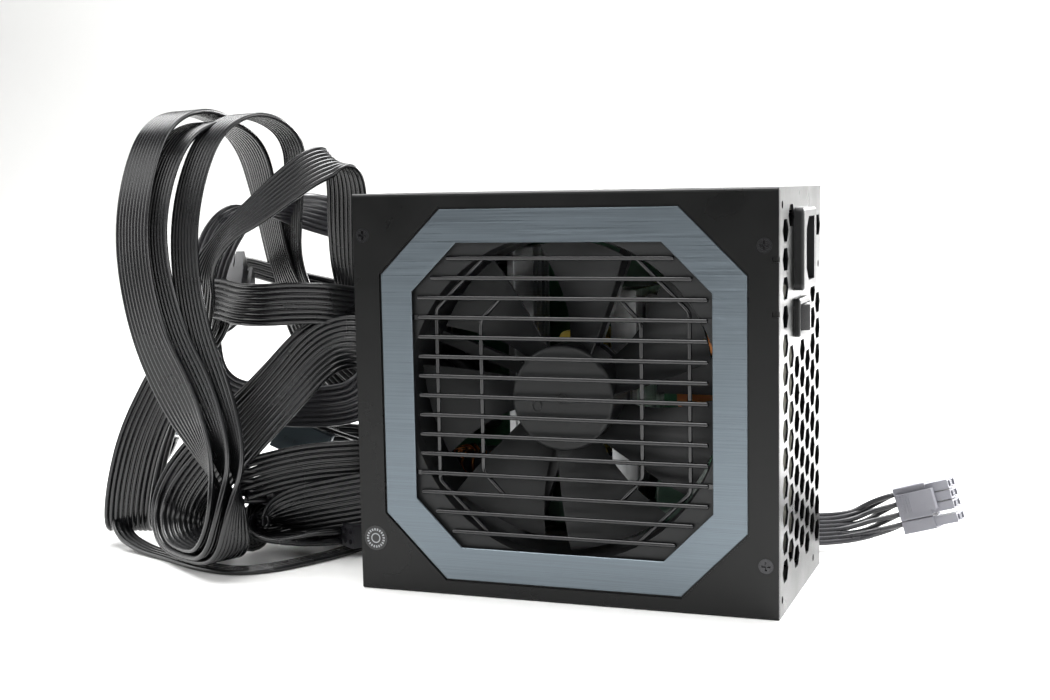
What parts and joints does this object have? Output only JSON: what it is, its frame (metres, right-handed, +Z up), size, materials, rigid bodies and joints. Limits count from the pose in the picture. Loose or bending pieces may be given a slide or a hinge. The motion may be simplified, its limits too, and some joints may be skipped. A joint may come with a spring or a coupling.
{
  "type": "desktop computer power supply unit",
  "caption": "Boxy desktop power supply with a barred fan opening, mains inlet and rocker switch, and flat ribbed output cables looped beside it with their plugs.",
  "frame": {"origin": "centre of the case's lower side, on the surface that it stands on", "axes": "+X along the fan face towards the mains inlet panel, +Y away from the fan face, +Z up"},
  "size_m": [0.3555, 0.1362, 0.187],
  "materials": {
    "black_sheet": "satin black powder coat",
    "brushed_trim": "brushed, grey-blue anodised",
    "gloss_wire": "gloss black dip",
    "black_screw": "black oxide",
    "seal_film": "satin film",
    "dark_plastic": "moulded",
    "drive_plastic": "moulded",
    "rocker_plastic": "gloss moulded",
    "steel": "plated",
    "bronze": "sintered",
    "copper": "enamelled",
    "circuit_board": "solder mask",
    "insulation": "sheet",
    "aluminium": "extruded",
    "ferrite": "sintered",
    "coil_tape": "wrapped tape",
    "epoxy": "moulded",
    "capacitor_sleeve": "shrunk sleeve",
    "capacitor_box": "moulded",
    "wire_sleeve": "extruded, satin",
    "loose_cables": "extruded, satin"
  },
  "bodies": {
    "unit": {"ac_inlet": "dark_plastic", "ac_leads": "wire_sleeve", "atx_plug": "dark_plastic", "base_shell": "black_sheet", "board_screws": "black_screw", "board_standoffs": "steel", "bridge_rectifier": "epoxy", "bulk_capacitor": "capacitor_sleeve", "cable_grommet": "dark_plastic", "cable_hank": "loose_cables", "cover_screws": "black_screw", "drive_plug": "drive_plastic", "eps_plug": "dark_plastic", "fan_bearing": "bronze", "fan_circuit_board": "circuit_board", "fan_cover": "black_sheet", "fan_frame": "dark_plastic", "fan_screws": "black_screw", "fan_stator": "steel", "fan_windings": "copper", "floor_ribbon": "wire_sleeve", "graphics_plug": "dark_plastic", "heatsink_primary": "aluminium", "heatsink_secondary": "aluminium", "inlet_pins": "steel", "insulation_sheet": "insulation", "main_board": "circuit_board", "output_capacitors": "capacitor_sleeve", "output_choke_core": "ferrite", "output_choke_winding": "copper", "output_harness": "wire_sleeve", "pfc_choke_core": "ferrite", "pfc_choke_winding": "copper", "power_transistors": "epoxy", "rear_cable": "wire_sleeve", "rear_cable_extra_plug": "dark_plastic", "rear_cable_plug": "dark_plastic", "rear_drive_plug": "drive_plastic", "seal_sticker": "seal_film", "spare_graphics_plug": "dark_plastic", "standby_core": "ferrite", "standby_winding": "coil_tape", "switch_housing": "dark_plastic", "switch_terminals": "steel", "transformer_core": "ferrite", "transformer_winding": "coil_tape", "trim_ring": "brushed_trim", "wire_grille": "gloss_wire", "x_capacitor": "capacitor_box"},
    "fan": {"fan_rotor": "dark_plastic", "fan_magnet_ring": "steel", "fan_shaft": "steel"},
    "rocker": {"switch_rocker": "rocker_plastic"},
    "latch": {"rear_cable_latch": "dark_plastic"}
  },
  "joints": [
    {"name": "fan_spin", "type": "hinge", "parent": "unit", "child": "fan", "pos_m": [0, -0.03, 0.075], "axis": [0, 1, 0], "continuous": true},
    {"name": "switch_rock", "type": "hinge", "parent": "unit", "child": "rocker", "pos_m": [0.0788, -0.004, 0.1032], "axis": [0, 0, 1], "range_deg": [-18, 0]},
    {"name": "latch_press", "type": "hinge", "parent": "unit", "child": "latch", "pos_m": [0.11377, 0.07229, 0.02062], "axis": [0.2903, -0.0764, -0.9539], "range_deg": [0, 7], "stiffness_Nm_per_rad": 0.15}
  ]
}
